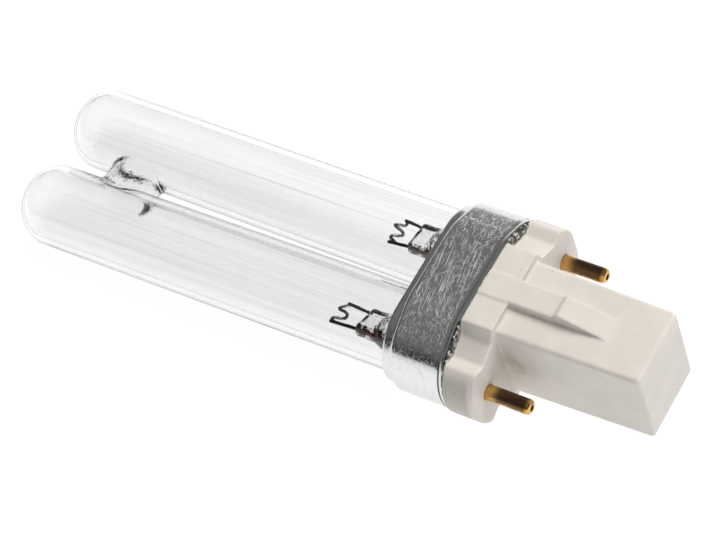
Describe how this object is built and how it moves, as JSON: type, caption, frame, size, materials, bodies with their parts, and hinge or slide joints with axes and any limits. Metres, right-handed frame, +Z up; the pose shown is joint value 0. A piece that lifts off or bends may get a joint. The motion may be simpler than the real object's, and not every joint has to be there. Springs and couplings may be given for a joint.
{
  "type": "ultraviolet lamp",
  "caption": "Plug-in twin-tube ultraviolet lamp: clear glass tubes joined by a bridge, coiled electrodes, crimped metal band, moulded cap with keyed post, and brass contact pins.",
  "frame": {"origin": "midway between the two contact pins, on the shoulder of the cap that they stand out of", "axes": "+X along the lamp towards the end of the plug post, +Y from the left pin to the right pin, +Z up, square to the post's wide keyed face"},
  "size_m": [0.105, 0.031, 0.0198],
  "materials": {
    "clear_glass": "clear, gloss, faint drawing lines",
    "stem_glass": "clear, gloss",
    "band_metal": "bright, finely scratched",
    "cap_plastic": "off-white moulding, satin",
    "cement": "matt",
    "pin_brass": "tarnished",
    "support_wire": "dull nickel",
    "emitter_coil": "dark tungsten, emitter coated",
    "sleeve_fibre": "woven glass fibre",
    "starter_glass": "clear",
    "bimetal": "satin strip",
    "starter_wire": "tinned",
    "capacitor_coat": "dipped, gloss"
  },
  "bodies": {
    "root": {"glass_envelope": "clear_glass", "left_stem": "stem_glass", "right_stem": "stem_glass", "metal_band": "band_metal", "cap_housing": "cap_plastic", "basing_cement": "cement", "left_contact_pin": "pin_brass", "right_contact_pin": "pin_brass", "left_pin_lead": "support_wire", "right_pin_lead": "support_wire", "left_starter_lead": "support_wire", "right_starter_lead": "support_wire", "left_filament": "emitter_coil", "right_filament": "emitter_coil", "left_insulating_sleeve": "sleeve_fibre", "right_insulating_sleeve": "sleeve_fibre", "starter_bulb": "starter_glass", "starter_bimetal": "bimetal", "starter_bimetal_wire": "starter_wire", "starter_fixed_wire": "starter_wire", "capacitor": "capacitor_coat", "capacitor_leads": "starter_wire"}
  },
  "joints": []
}
